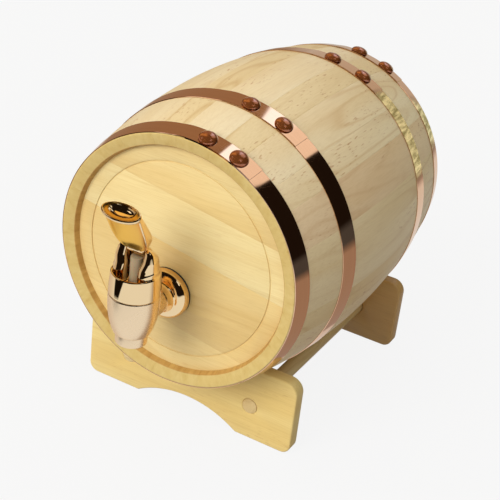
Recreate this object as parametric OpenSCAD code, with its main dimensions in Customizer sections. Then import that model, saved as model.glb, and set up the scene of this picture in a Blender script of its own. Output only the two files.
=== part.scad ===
// Small coopered cask lying in a two-plate cradle, with a push-lever tap in its front head.
// Millimetres. +Z is up, the tap faces -Y, the cask axis lies along Y.
// The origin is on the table, under the middle of the whole object's box.

/* [Cask] */
// Length of the cask over the chimes
cask_len = 195.6; // [170:0.2:230]
// Diameter over the staves at each end
end_d = 149; // [140:1:160]
// Diameter over the staves at the bilge
bilge_d = 171.6; // [164:0.2:180]
// Number of staves
stave_count = 26; // [20:2:30]
// Thickness of a stave
stave_t = 9; // [8:0.5:10]
// How far each second joint between staves is shifted, in degrees
stave_wobble = 1.4; // [0:0.1:2]
// Height of the cask axis above the table
axis_h = 114.5; // [112:0.5:120]
// Turn of the cask in its cradle, clockwise from the front
cask_roll = 9; // [0:1:15]

/* [Heads] */
// Depth of a head below the end of the staves
head_recess = 5.2; // [4:0.2:8]
// Thickness of a head board
head_t = 8; // [7:0.5:10]
// Diameter of the fine groove turned into the front head
groove_d = 115.2; // [100:1:120]

/* [Hoops] */
// Thickness of the hoop strip
hoop_t = 0.6; // [0.4:0.1:1]
// Width of an end hoop
end_hoop_w = 11.8; // [10:0.2:13]
// Width of a quarter hoop
quarter_hoop_w = 12.8; // [10:0.2:14]
// Distance from the end of the staves to the near edge of a quarter hoop
quarter_hoop_u = 41.4; // [38:0.2:50]
// Diameter of a rivet's domed head
rivet_d = 10.6; // [8:0.2:11]
// Height of a rivet's domed head
rivet_h = 3.4; // [2:0.1:4]

/* [Cradle] */
// Width of a cradle plate
plate_w = 142.6; // [136:0.2:160]
// Height of a cradle plate at its shoulders
plate_h = 48; // [44:1:54]
// Thickness of a cradle plate
plate_t = 9; // [7:0.5:10]
// Distance from the front of the staves to the front plate
front_plate_u = 29.6; // [20:0.2:30]
// Distance from the front of the staves to the rear plate
rear_plate_u = 174.6; // [150:0.2:174.6]
// Span of the arch under a plate
arch_span = 69; // [60:1:76]
// Height of the arch under a plate
arch_rise = 10.2; // [8:0.2:12]
// Diameter of a dowel that joins the plates
dowel_d = 9.5; // [8:0.5:10]
// Distance of a dowel from the middle of the cradle
dowel_x = 42.4; // [40:0.2:48]
// Height of a dowel above the table
dowel_z = 22; // [18:0.5:24]

/* [Tap] */
// Distance of the tap's shank below the cask axis
tap_drop = 21.4; // [15:0.2:30]
// Distance of the tap's shank to the left of the head's middle
tap_side = 1.3; // [0:0.1:3]
// Distance from the front head to the tap's upright axis
tap_proj = 34.4; // [32:0.1:40]
// Diameter of the shank
shank_d = 15; // [14:0.5:16]
// Diameter of the flange on the front head
flange_d = 29.6; // [26:0.2:34]
// Diameter of the tap's body at its widest
tap_d = 28.2; // [28:0.1:29]
// Diameter of the waterway through the shank
waterway_d = 9; // [8:0.5:10]
// Diameter of the valve stem
stem_d = 7; // [6.6:0.1:7.4]
// Distance that the lever's pad stands in front of the tap's upright axis
lever_reach = 23.3; // [20:0.1:26]
// Width of the lever's pad
pad_w = 23.6; // [20:0.2:27]
// Depth of the lever's pad, front to back
pad_depth = 11.6; // [9:0.2:14]
// Forward lean of the lever's pad
pad_lean = 27; // [20:1:35]

/* [Fill bung] */
// Diameter of the bung
bung_d = 24; // [18:1:28]
// How far the bung stands behind the staves
bung_proud = 3.8; // [2:0.2:6]

/* [Hidden] */
front_board_seams = [36.1, 6.4, -40.5];
rear_board_seams = [40.5, 2.0, -34.0];
FRONT_BOARDS = [for (i = [1 : len(front_board_seams) + 1]) str("front_head_board_", i)];
REAR_BOARDS = [for (i = [1 : len(rear_board_seams) + 1]) str("rear_head_board_", i)];
STAVES = [for (k = [1 : stave_count]) str("stave_", k < 10 ? "0" : "", k)];

$fn = 96;
slice_fn = 32;
eps = 0.01;
cut = 1;

// Cask
end_r = end_d / 2;
bilge_r = bilge_d / 2;
half_len = cask_len / 2;
bulge = bilge_r - end_r;
stave_curve_r = (half_len * half_len + bulge * bulge) / (2 * bulge);
chime_w = 7;
chime_drop = 1.8;
seat_r = 66.4;
croze_r = 70;
croze_w = 5;
head_bevel_r = 62;
head_lip_r = 67;
groove_w = 0.9;
groove_depth = 0.6;

function outer_r(u) =
    bilge_r - stave_curve_r + sqrt(pow(stave_curve_r, 2) - pow(u - half_len, 2));

// Places along the cask where its outline has a corner: hoop edges, and even steps between.
quarter_end_u = quarter_hoop_u + quarter_hoop_w;
hoop_gap_u = (end_hoop_w + quarter_hoop_u) / 2;
bilge_steps = 3;
FRONT_STATIONS = concat(
    [0, end_hoop_w, hoop_gap_u, quarter_hoop_u, quarter_end_u],
    [for (i = [1 : bilge_steps - 1])
        quarter_end_u + (half_len - quarter_end_u) * i / bilge_steps]);
REAR_STATIONS = [for (i = [len(FRONT_STATIONS) - 1 : -1 : 0]) cask_len - FRONT_STATIONS[i]];
STATIONS = concat(FRONT_STATIONS, [half_len], REAR_STATIONS);
croze_end_u = head_recess + croze_w;
INNER_STATIONS = concat(
    [croze_end_u],
    [for (u = STATIONS) if (u > croze_end_u + 2 && u < cask_len - croze_end_u - 2) u],
    [cask_len - croze_end_u]);
FRONT_RIM = [
    [end_r - chime_w, chime_drop], [seat_r, head_recess],
    [croze_r, head_recess], [croze_r, croze_end_u]];
REAR_RIM = [for (i = [len(FRONT_RIM) - 1 : -1 : 0])
    [FRONT_RIM[i][0], cask_len - FRONT_RIM[i][1]]];
STAVE_OUTLINE = concat(
    [for (u = STATIONS) [outer_r(u), u]],
    [for (i = [len(REAR_RIM) - 1 : -1 : 0]) REAR_RIM[i]],
    [for (i = [len(INNER_STATIONS) - 1 : -1 : 0])
        [outer_r(INNER_STATIONS[i]) - stave_t, INNER_STATIONS[i]]],
    [for (i = [len(FRONT_RIM) - 1 : -1 : 0]) FRONT_RIM[i]]);

// Angle of the joint before stave k, clockwise from the top as seen from the front.
stave_pitch = 360 / stave_count;
joint_phase = 43.5 - 3 * stave_pitch;
function joint_angle(k) =
    joint_phase + k * stave_pitch + (k % 2 == 0 ? stave_wobble : -stave_wobble);

// Hoops and rivets
RIVET_ANGLES = [-1, 14];
lap_start = -9;
lap_end = 23;
rivet_shank_d = 3;
rivet_shank_len = 5;
HOOPS = [
    [0, end_hoop_w],
    [quarter_hoop_u, quarter_end_u],
    [cask_len - quarter_end_u, cask_len - quarter_hoop_u],
    [cask_len - end_hoop_w, cask_len]];

// Place of the whole
front_reach = tap_proj - head_recess + lever_reach;
rear_reach = cask_len + bung_proud;
face_y = (front_reach - rear_reach) / 2;
tap_x = -tap_drop * sin(cask_roll) - tap_side * cos(cask_roll);
tap_y = face_y + head_recess - tap_proj;
tap_z = axis_h - tap_drop * cos(cask_roll) + tap_side * sin(cask_roll);

// Head pins
pin_d = 4;
pin_len = 16;
pin_x = 24;
PIN_X = [-pin_x, pin_x];
head_mid_u = head_recess + head_t / 2;

// Cradle
plate_foot_r = 6;
plate_shoulder_r = 8;
plate_hw = plate_w / 2;
saddle_gap = 0.3;
arch_r = (pow(arch_span / 2, 2) + pow(arch_rise, 2)) / (2 * arch_rise);
dowel_len = rear_plate_u + plate_t - front_plate_u;

// Tap, measured from the crossing of its upright axis and its shank axis
tap_r = tap_d / 2;
shank_r = shank_d / 2;
waterway_r = waterway_d / 2;
stem_r = stem_d / 2;
fit_gap = 0.05;
nozzle_z = -15.2;
spout_z = -8.9;
web_z = -7;
web_t = 2;
plug_z = 11;
joint_z = 15.4;
roof_z = 18;
well_z = 23;
ledge_z = 28.4;
rim_t = 1.1;
orifice_r = 4.8;
chamber_r = 8.8;
plug_r = 10.6;
nozzle_r = 8.8;
nozzle_bore_r = 7.2;
spigot_r = 8.1;
gasket_t = 1.2;
gasket_inset = 0.4;
flange_rim_t = 1.4;
flange_len = 11.5;
neck_r = 7.8;
neck_y = tap_proj - gasket_t - flange_len + 3;
inner_gasket_t = 2;
inner_gasket_d = 27;
nut_t = 6;
nut_af = 24;
shank_tail = 4;
shank_end = tap_proj + head_t + inner_gasket_t + nut_t + shank_tail;
head_hole_gap = 0.2;

// Lever
pivot_y = 6;
pivot_z = 34.5;
ear_edge_r = 2.5;
ear_edge_y = 1.6;
ear_tip_x = 9.3;
ear_tip_y = -5;
ear_foot_r = 12.5;
ear_lean = 17;
ear_lean_z = 31;
ear_top_z = 44.6;
ear_break_y = -2;
ear_fall = 32;
// The leaning round form that the ears are cut from: [radius, distance along its axis]
EAR_CROWN = [[10.9, -5], [12.4, 1], [12, 6], [11, 10], [9.4, 13.5], [7, 16]];
slot_w = 10.6;
slot_end_y = 10.6;
hub_r = 4.2;
hub_w = 10.2;
lever_pin_r = 2;
lever_pin_x0 = -8.6;
lever_pin_x1 = 8;
nose_y = 0.5;
nose_z = 32;
nose_r = 1.4;
nose_w = 3.2;
nose_play = 0.4;
pad_z = 69.9;
slice_t = 0.6;
pad_y = -(lever_reach - pad_depth / 2 * cos(pad_lean) - slice_t / 2 * sin(pad_lean));
dish_depth = 2;
dish_half = 5;
dish_r = (dish_half * dish_half + dish_depth * dish_depth) / (2 * dish_depth);

// Stem, spring and seal
stem_top = 37;
flat_y = 1.2;
notch_reach = 0.2;
stem_collar_z = 14.5;
stem_collar_t = 2.5;
stem_collar_r = 7.6;
stem_rod_r = 2.2;
stem_foot_r = 4;
stem_foot_t = 1.2;
seal_t = 2.4;
seal_r = 6;
seal_edge = 0.5;
ring_z = 20.4;
ring_wire_r = 0.9;
spring_r = 6.3;
spring_wire_r = 0.6;
spring_turns = 6;
coil_steps = 20;
coil_sides = 8;

// Bung
bung_up = 21;
bung_head_d = 30;
bung_inner_end = 3;

// Things placed in the cask's own frame: X and Z across it, Y along it from the front chime.
module in_cask() {
    translate([0, face_y, axis_h]) rotate([0, cask_roll, 0]) children();
}

module cask_axis_up() {
    in_cask() rotate([-90, 0, 0]) children();
}

module in_tap() {
    translate([tap_x, tap_y, tap_z]) children();
}

// A solid cylinder along +Y from y0 to y1, centred on x and z.
module rod_y(r, y0, y1, x = 0, z = 0) {
    translate([x, y0, z]) rotate([-90, 0, 0]) cylinder(r = r, h = y1 - y0);
}

module rod_x(r, half_w, y, z) {
    translate([-half_w, y, z]) rotate([0, 90, 0]) cylinder(r = r, h = 2 * half_w);
}

// ---- Cask ----

module rivet_shanks() {
    for (hoop = HOOPS, a = RIVET_ANGLES) {
        u = (hoop[0] + hoop[1]) / 2;
        in_cask() rotate([0, a, 0]) translate([0, u, outer_r(u) - rivet_shank_len])
            cylinder(d = rivet_shank_d, h = rivet_shank_len + 2 * hoop_t + cut);
    }
}

module stave(k) {
    a0 = joint_angle(k - 1);
    a1 = joint_angle(k);
    near_rivet = len([for (a = RIVET_ANGLES, turn = [0, 360])
        if (a + turn > a0 - 2 && a + turn < a1 + 2) a]) > 0;
    color(k % 3 == 0 ? "burlywood" : (k % 3 == 1 ? "wheat" : "navajowhite"))
    difference() {
        cask_axis_up() rotate([0, 0, a0 - 90])
            rotate_extrude(angle = a1 - a0) polygon(STAVE_OUTLINE);
        if (near_rivet) rivet_shanks();
    }
}

// A whole head as a turned disc, its outer face at u = head_recess.
module head_disc() {
    back = head_recess + head_t;
    rotate_extrude() polygon([
        [0, head_recess], [croze_r, head_recess], [croze_r, croze_end_u],
        [head_lip_r, croze_end_u], [head_bevel_r, back], [0, back]]);
}

module head_groove() {
    inner = (groove_d - groove_w) / 2;
    rotate_extrude() translate([inner, head_recess - cut]) square([groove_w, groove_depth + cut]);
}

// The slab of a head between its seams i and i + 1, counted from the top.
module board_slab(seams, i) {
    top = i == 0 ? croze_r + cut : seams[i - 1];
    low = i == len(seams) ? -croze_r - cut : seams[i];
    translate([-croze_r - cut, 0, low])
        cube([2 * (croze_r + cut), head_recess + head_t + cut, top - low]);
}

module pins_at(seams, u) {
    for (s = seams, x = PIN_X)
        translate([x, u, s - pin_len / 2]) cylinder(d = pin_d, h = pin_len, $fn = 32);
}

module front_head_board(i) {
    color("wheat") in_cask() difference() {
        intersection() {
            rotate([-90, 0, 0]) head_disc();
            board_slab(front_board_seams, i);
        }
        rotate([-90, 0, 0]) head_groove();
        pins_at(front_board_seams, head_mid_u);
        rod_y(shank_r + head_hole_gap, 0, 2 * head_t, -tap_side, -tap_drop);
    }
}

module rear_head_board(i) {
    color("wheat") in_cask() translate([0, cask_len, 0]) mirror([0, 1, 0]) difference() {
        intersection() {
            rotate([-90, 0, 0]) head_disc();
            board_slab(rear_board_seams, i);
        }
        pins_at(rear_board_seams, head_mid_u);
        rod_y(bung_d / 2 + fit_gap, 0, 2 * head_t, 0, bung_up);
    }
}

module head_pins() {
    color("tan") in_cask() {
        pins_at(front_board_seams, head_mid_u);
        pins_at(rear_board_seams, cask_len - head_mid_u);
    }
}

// A strip round the cask from u0 to u1, lying at height lift above the staves.
module strip(u0, u1, lift, angle) {
    rotate_extrude(angle = angle) polygon([
        [outer_r(u0) + lift, u0], [outer_r(u0) + lift + hoop_t, u0],
        [outer_r(u1) + lift + hoop_t, u1], [outer_r(u1) + lift, u1]]);
}

module hoop(i) {
    u0 = HOOPS[i][0];
    u1 = HOOPS[i][1];
    color("rosybrown") difference() {
        cask_axis_up() {
            strip(u0, u1, 0, 360);
            rotate([0, 0, lap_start - 90]) strip(u0, u1, hoop_t, lap_end - lap_start);
        }
        rivet_shanks();
    }
}

// Domed rivets whose heads sit on the hoops' outer lap.
module hoop_rivets() {
    cap_r = (pow(rivet_d / 2, 2) + pow(rivet_h, 2)) / (2 * rivet_h);
    margin = 5;
    lap_lift = 2 * hoop_t;
    color("saddlebrown") for (hoop = HOOPS, a = RIVET_ANGLES) {
        u = (hoop[0] + hoop[1]) / 2;
        r0 = outer_r(hoop[0]) + lap_lift;
        r1 = outer_r(hoop[1]) + lap_lift;
        slope = atan((r1 - r0) / (hoop[1] - hoop[0]));
        rise = margin * tan(slope);
        difference() {
            in_cask() rotate([0, a, 0]) translate([0, u, (r0 + r1) / 2]) rotate([slope, 0, 0])
                intersection() {
                    translate([0, 0, rivet_h - cap_r]) sphere(r = cap_r);
                    translate([0, 0, -cut]) cylinder(d = rivet_d, h = rivet_h + 2 * cut);
                }
            cask_axis_up() rotate_extrude() polygon([
                [0, hoop[0] - margin], [r0 - rise, hoop[0] - margin],
                [r1 + rise, hoop[1] + margin], [0, hoop[1] + margin]]);
        }
        in_cask() rotate([0, a, 0]) translate([0, u, outer_r(u) - rivet_shank_len])
            cylinder(d = rivet_shank_d, h = rivet_shank_len + lap_lift + eps);
    }
}

// ---- Cradle ----

module plate_outline() {
    foot_x = plate_hw - plate_foot_r;
    shoulder_x = plate_hw - plate_shoulder_r;
    shoulder_z = plate_h - plate_shoulder_r;
    translate([-foot_x, 0]) square([2 * foot_x, shoulder_z]);
    translate([-plate_hw, plate_foot_r]) square([plate_w, shoulder_z - plate_foot_r]);
    translate([-shoulder_x, plate_foot_r]) square([2 * shoulder_x, plate_h - plate_foot_r]);
    for (s = [-1, 1]) {
        translate([s * foot_x, plate_foot_r]) circle(r = plate_foot_r);
        translate([s * shoulder_x, shoulder_z]) circle(r = plate_shoulder_r);
    }
}

// A plate whose front face is u behind the front of the staves.
module cradle_plate(u) {
    y = face_y + u;
    saddle_r = max(outer_r(u), outer_r(u + plate_t)) + saddle_gap;
    color("wheat") difference() {
        translate([0, y + plate_t, 0]) rotate([90, 0, 0])
            linear_extrude(height = plate_t) plate_outline();
        rod_y(saddle_r, y - cut, y + plate_t + cut, 0, axis_h);
        rod_y(arch_r, y - cut, y + plate_t + cut, 0, arch_rise - arch_r);
        for (s = [-1, 1])
            rod_y(dowel_d / 2, y - cut, y + plate_t + cut, s * dowel_x, dowel_z);
    }
}

module cradle_front_plate() {
    cradle_plate(front_plate_u);
}

module cradle_rear_plate() {
    cradle_plate(rear_plate_u);
}

module cradle_dowel(side) {
    color("burlywood")
        rod_y(dowel_d / 2, face_y + front_plate_u, face_y + front_plate_u + dowel_len,
            side * dowel_x, dowel_z);
}

// ---- Tap ----

// Radius of the tap's body at height z above its shank: a barrel form, drawn in at both ends.
spout_draw = 4.1;
spout_power = 2.8;
collar_draw = 0.7;
function body_r(z) = tap_r
    - spout_draw * pow(max(0, joint_z - z) / (joint_z - spout_z), spout_power)
    - collar_draw * pow(max(0, z - joint_z) / (ledge_z - joint_z), 2);

module tap_body() {
    steps = 10;
    color("rosybrown") in_tap() difference() {
        union() {
            rotate_extrude() polygon(concat(
                [[0, spout_z]],
                [for (i = [0 : steps])
                    let (z = spout_z + (joint_z - spout_z) * i / steps) [body_r(z), z]],
                [[0, joint_z]]));
            rod_y(neck_r, 0, neck_y);
            rod_y(shank_r, 0, shank_end);
        }
        translate([0, 0, web_z + web_t]) cylinder(r = chamber_r, h = plug_z - web_z);
        translate([0, 0, plug_z]) cylinder(r = plug_r, h = joint_z - plug_z + cut);
        translate([0, 0, spout_z - cut]) cylinder(r = spigot_r, h = web_z - spout_z + cut);
        translate([0, 0, web_z - cut]) cylinder(r = orifice_r, h = web_t + 2 * cut);
        rod_y(waterway_r, 0, shank_end + cut);
    }
}

module spout_nozzle() {
    color("rosybrown") in_tap() difference() {
        union() {
            translate([0, 0, nozzle_z]) cylinder(r = nozzle_r, h = spout_z - nozzle_z);
            translate([0, 0, spout_z]) cylinder(r = spigot_r, h = web_z - spout_z);
        }
        translate([0, 0, nozzle_z - cut])
            cylinder(r = nozzle_bore_r, h = web_z - nozzle_z + 2 * cut);
    }
}

function arc_points(centre, r, from, to, steps) = [for (i = [0 : steps])
    let (a = from + (to - from) * i / steps) [centre[0] + r * cos(a), centre[1] + r * sin(a)]];

// The ears seen from above: a slot that is closed behind, and on each side of it a rounded
// wall that runs outwards to the front.
module ears_plan() {
    edge_x = slot_w / 2 + ear_edge_r;
    turn = 180 + atan((ear_tip_x - edge_x) / (ear_edge_y - ear_tip_y));
    right = concat(
        [[slot_w / 2, slot_end_y]],
        arc_points([edge_x, ear_edge_y], ear_edge_r, 180, turn, 3),
        arc_points([ear_tip_x, ear_tip_y], ear_edge_r, turn, 360, 14),
        [[tap_r, ear_tip_y], [tap_r, tap_r]]);
    left = [for (i = [len(right) - 1 : -1 : 0]) [-right[i][0], right[i][1]]];
    polygon(concat(right, left));
}

// The round form that the ears are cut from: upright below, leaning forward above, and
// falling to the rear at its top.
module ears_form() {
    translate([0, 0, well_z - eps]) cylinder(r = ear_foot_r, h = ear_lean_z - well_z);
    intersection() {
        translate([0, 0, ear_lean_z]) rotate([ear_lean, 0, 0]) rotate_extrude()
            polygon(concat([[0, EAR_CROWN[0][1]]], EAR_CROWN, [[0, EAR_CROWN[5][1]]]));
        translate([-tap_r, ear_break_y, ear_top_z]) rotate([-ear_fall, 0, 0])
            translate([0, -2 * tap_r, -2 * tap_r]) cube([2 * tap_r, 4 * tap_r, 2 * tap_r]);
    }
}

// The top of the tap: a thin front rim round an open well, and the two ears behind it.
module tap_bonnet() {
    steps = 6;
    well_r = body_r(ledge_z) - rim_t;
    color("rosybrown") in_tap() difference() {
        union() {
            rotate_extrude() polygon(concat(
                [[0, joint_z]],
                [for (i = [0 : steps])
                    let (z = joint_z + (ledge_z - joint_z) * i / steps) [body_r(z), z]],
                [[well_r, ledge_z], [well_r, well_z], [0, well_z]]));
            translate([0, 0, plug_z]) cylinder(r = plug_r, h = joint_z - plug_z);
            intersection() {
                translate([0, 0, well_z - eps])
                    linear_extrude(height = ear_top_z - well_z) ears_plan();
                ears_form();
            }
        }
        translate([0, 0, plug_z - cut]) cylinder(r = chamber_r, h = roof_z - plug_z + cut);
        cylinder(r = stem_r + fit_gap, h = ear_top_z);
        translate([0, 0, ring_z - ring_wire_r])
            cylinder(r = stem_r + fit_gap + 2 * ring_wire_r, h = 2 * ring_wire_r);
        translate([lever_pin_x0, pivot_y, pivot_z]) rotate([0, 90, 0])
            cylinder(r = lever_pin_r, h = tap_r - lever_pin_x0);
    }
}

// A bell-shaped flange: a thin rim on the gasket, a round shoulder, then a waist at the neck.
module tap_flange() {
    rim_r = flange_d / 2;
    shoulder = 5.2;
    steps = 8;
    shoulder_pts = [for (i = [0 : steps])
        let (a = 90 * i / steps)
            [rim_r - shoulder * (1 - cos(a)), flange_rim_t + shoulder * sin(a)]];
    end_t = 0.4;
    waist = rim_r - shoulder - neck_r - end_t;
    waist_pts = [for (i = [1 : steps])
        let (a = 90 * i / steps)
            [rim_r - shoulder - waist * sin(a),
                flange_len - (flange_len - flange_rim_t - shoulder) * cos(a)]];
    color("rosybrown") in_tap() translate([0, tap_proj - gasket_t, 0]) rotate([90, 0, 0])
        rotate_extrude() polygon(concat(
            [[neck_r, 0], [rim_r, 0]], shoulder_pts, waist_pts, [[neck_r, flange_len]]));
}

module flange_gasket() {
    color("dimgray") in_tap() difference() {
        rod_y((flange_d - gasket_inset) / 2, tap_proj - gasket_t, tap_proj);
        rod_y(shank_r, 0, tap_proj + cut);
    }
}

module inner_gasket() {
    y0 = tap_proj + head_t;
    color("dimgray") in_tap() difference() {
        rod_y(inner_gasket_d / 2, y0, y0 + inner_gasket_t);
        rod_y(shank_r, 0, y0 + inner_gasket_t + cut);
    }
}

module shank_nut() {
    y0 = tap_proj + head_t + inner_gasket_t;
    color("silver") in_tap() difference() {
        translate([0, y0, 0]) rotate([-90, 0, 0])
            cylinder(d = nut_af / cos(30), h = nut_t, $fn = 6);
        rod_y(shank_r, y0 - cut, y0 + nut_t + cut);
    }
}

// One thin slice of the lever, w wide and d deep, leaning forward by lean. Its rear half is
// oval; its front half is oval too with square = 1, and squarer as square falls.
module lever_slice(y, z, w, d, lean, square = 1) {
    outline = [for (i = [0 : slice_fn - 1])
        let (a = 360 * i / slice_fn, power = sin(a) < -eps ? square : 1)
            [w / 2 * sign(cos(a)) * pow(abs(cos(a)), power),
                d / 2 * sign(sin(a)) * pow(abs(sin(a)), power)]];
    translate([0, y, z]) rotate([lean, 0, 0]) translate([0, 0, -slice_t / 2])
        linear_extrude(height = slice_t) polygon(outline);
}

module lever() {
    base_y = -0.2;
    base_z = 47.2;
    base_w = 10.2;
    base_depth = 8;
    base_lean = pad_lean + 20;
    neck_y = 1.6;
    neck_z = 42.6;
    neck_rod_r = 2.4;
    base_square = 0.45;
    pad_under = 3.2;
    under_w = pad_w - 0.6;
    under_depth = pad_depth - 1.4;
    color("rosybrown") in_tap() difference() {
        union() {
            rod_x(hub_r, hub_w / 2, pivot_y, pivot_z);
            hull() {
                rod_x(neck_rod_r, hub_w / 2, pivot_y, pivot_z + 1, $fn = slice_fn);
                rod_x(neck_rod_r, hub_w / 2, neck_y, neck_z, $fn = slice_fn);
            }
            hull() {
                rod_x(neck_rod_r, hub_w / 2, neck_y, neck_z, $fn = slice_fn);
                lever_slice(base_y, base_z, base_w, base_depth, base_lean, base_square);
            }
            hull() {
                lever_slice(base_y, base_z, base_w, base_depth, base_lean, base_square);
                lever_slice(pad_y, pad_z - pad_under, under_w, under_depth, pad_lean);
                lever_slice(pad_y, pad_z, pad_w, pad_depth, pad_lean);
            }
            hull() {
                rod_x(nose_r, nose_w / 2, nose_y, nose_z, $fn = slice_fn);
                rod_x(nose_r, nose_w / 2, pivot_y - 2, pivot_z - 1, $fn = slice_fn);
            }
        }
        rod_x(lever_pin_r + fit_gap, hub_w, pivot_y, pivot_z);
        translate([0, pad_y, pad_z]) rotate([pad_lean, 0, 0])
            translate([0, 0, dish_r - dish_depth]) scale([pad_w / pad_depth, 1, 1])
                sphere(r = dish_r, $fn = 48);
    }
}

module lever_pin() {
    color("silver") in_tap() translate([lever_pin_x0, pivot_y, pivot_z])
        rotate([0, 90, 0]) cylinder(r = lever_pin_r, h = lever_pin_x1 - lever_pin_x0);
}

// The stem: a foot that holds the seal, a thin rod, the spring's collar, and a thick upper
// part with a notch behind that the lever's nose works in.
module valve_stem() {
    notch_w = nose_w + 2 * nose_play;
    notch_h = 2 * (nose_r + nose_play);
    notch_front = nose_y - nose_r - nose_play - notch_reach;
    foot_z = web_z - seal_t;
    collar_top = stem_collar_z + stem_collar_t;
    color("gainsboro") in_tap() difference() {
        rotate_extrude() polygon([
            [0, foot_z - stem_foot_t], [stem_foot_r, foot_z - stem_foot_t],
            [stem_foot_r, foot_z], [stem_rod_r, foot_z], [stem_rod_r, stem_collar_z],
            [stem_collar_r, stem_collar_z], [stem_collar_r, collar_top],
            [stem_r, collar_top], [stem_r, stem_top], [0, stem_top]]);
        translate([-notch_w / 2, notch_front, nose_z - notch_h / 2])
            cube([notch_w, 2 * stem_r, notch_h]);
        translate([-stem_r - cut, flat_y, nose_z - notch_h / 2])
            cube([2 * stem_r + 2 * cut, stem_r, stem_top]);
    }
}

// The ring that seals the stem where it leaves the tap.
module stem_ring() {
    color("dimgray") in_tap() rotate_extrude()
        translate([stem_r + fit_gap + ring_wire_r, ring_z]) circle(r = ring_wire_r, $fn = 32);
}

// The soft washer on the stem's foot, which closes the valve from below.
module valve_seal() {
    low = web_z - seal_t;
    color("whitesmoke") in_tap() rotate_extrude() polygon([
        [stem_rod_r, low], [seal_r, low], [seal_r, web_z - seal_edge],
        [seal_r - seal_edge, web_z],
        [stem_rod_r, web_z]]);
}

// A compression spring: one ring of points per step along a helix.
module valve_spring() {
    z0 = web_z + web_t + spring_wire_r;
    z1 = stem_collar_z - spring_wire_r;
    steps = spring_turns * coil_steps;
    points = [for (i = [0 : steps], j = [0 : coil_sides - 1])
        let (a = 360 * i / coil_steps, b = 360 * j / coil_sides,
            r = spring_r + spring_wire_r * cos(b))
            [r * cos(a), r * sin(a), z0 + (z1 - z0) * i / steps + spring_wire_r * sin(b)]];
    sides = [for (i = [0 : steps - 1], j = [0 : coil_sides - 1])
        let (n = (j + 1) % coil_sides)
            [i * coil_sides + j, i * coil_sides + n,
                (i + 1) * coil_sides + n, (i + 1) * coil_sides + j]];
    first = [for (j = [coil_sides - 1 : -1 : 0]) j];
    last = [for (j = [0 : coil_sides - 1]) steps * coil_sides + j];
    color("silver") in_tap() polyhedron(points, concat(sides, [first, last]));
}

// ---- Fill bung ----

// A turned bung: a straight shank in the board's hole and a rounded head outside it.
module fill_bung() {
    u0 = cask_len - head_recess - head_t - bung_inner_end;
    u1 = cask_len - head_recess;
    u2 = cask_len + bung_proud;
    shank = bung_d / 2;
    head = bung_head_d / 2;
    round_r = 2.5;
    steps = 5;
    color("peru") in_cask() translate([0, 0, bung_up]) rotate([-90, 0, 0])
        rotate_extrude() polygon(concat(
            [[0, u0], [shank - 1, u0], [shank, u0 + 1], [shank, u1], [head - 1, u1]],
            [[head, u1 + 1]],
            [for (i = [0 : steps])
                let (a = 90 * i / steps)
                    [head - round_r * (1 - cos(a)), u2 - round_r * (1 - sin(a))]],
            [[0, u2]]));
}

for (k = [1 : stave_count])
    stave(k);
for (i = [0 : len(front_board_seams)])
    front_head_board(i);
for (i = [0 : len(rear_board_seams)])
    rear_head_board(i);
head_pins();
hoop(0);  // front_end_hoop
hoop(1);  // front_quarter_hoop
hoop(2);  // rear_quarter_hoop
hoop(3);  // rear_end_hoop
hoop_rivets();
cradle_front_plate();
cradle_rear_plate();
cradle_dowel(-1);  // cradle_dowel_left
cradle_dowel(1);  // cradle_dowel_right
tap_body();
tap_bonnet();
spout_nozzle();
tap_flange();
flange_gasket();
inner_gasket();
shank_nut();
lever();
lever_pin();
valve_stem();
stem_ring();
valve_seal();
valve_spring();
fill_bung();
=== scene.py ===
import math

import bmesh
import bpy
import numpy as np
from mathutils import Matrix, Vector


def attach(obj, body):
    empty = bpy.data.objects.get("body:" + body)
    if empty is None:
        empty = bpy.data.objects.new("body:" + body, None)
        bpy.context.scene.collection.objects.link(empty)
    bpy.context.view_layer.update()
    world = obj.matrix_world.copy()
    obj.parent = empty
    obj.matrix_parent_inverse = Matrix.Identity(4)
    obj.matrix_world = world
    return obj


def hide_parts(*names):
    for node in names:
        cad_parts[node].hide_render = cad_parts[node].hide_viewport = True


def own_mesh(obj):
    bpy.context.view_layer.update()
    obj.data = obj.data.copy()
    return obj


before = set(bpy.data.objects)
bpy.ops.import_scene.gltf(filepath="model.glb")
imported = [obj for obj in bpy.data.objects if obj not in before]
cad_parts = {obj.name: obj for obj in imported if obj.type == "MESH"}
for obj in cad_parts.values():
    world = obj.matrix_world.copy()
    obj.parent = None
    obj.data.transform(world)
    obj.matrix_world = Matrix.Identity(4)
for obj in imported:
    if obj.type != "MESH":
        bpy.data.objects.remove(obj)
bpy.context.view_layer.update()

# ---- Sizes, in millimetres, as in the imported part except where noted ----

MM = 0.001
CASK_LEN, END_R, BILGE_R, STAVE_T = 195.6, 74.5, 85.8, 9.0
STAVES, STAVE_WOBBLE = 26, 1.4
AXIS_H, ROLL, FACE_Y = 114.5, math.radians(9), -73.45
HEAD_RECESS, CROZE_R, CROZE_W, SEAT_R = 5.2, 70.0, 5.0, 66.4
CHIME_W, CHIME_DROP = 7.0, 1.8
# The source has hoops 0.6 thick, and its end hoops run to the chimes.
HOOP_T = 0.45
HOOPS = {
    "front_end_hoop": (0.4, 11.8), "front_quarter_hoop": (41.4, 54.2),
    "rear_quarter_hoop": (141.4, 154.2), "rear_end_hoop": (183.8, 195.2)}
LAP = (-9.0, 23.0)
RIVET_ANGLES = (-1.0, 14.0)
RIVET_R, RIVET_H = 5.3, 3.4
TAP = (-4.6317, -102.65, 93.5668)
TAP_PROJ = 34.4
TAP_R, JOINT_Z, LEDGE_Z, SPOUT_Z, WELL_Z = 14.1, 15.4, 28.4, -8.9, 23.0

half_len = CASK_LEN / 2
bulge = BILGE_R - END_R
curve_r = (half_len**2 + bulge**2) / (2 * bulge)
stave_pitch = 360 / STAVES
SEEN_JOINT = 43.5  # degrees right of the top, where the photograph shows a joint
joint_phase = SEEN_JOINT - 3 * stave_pitch

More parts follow.
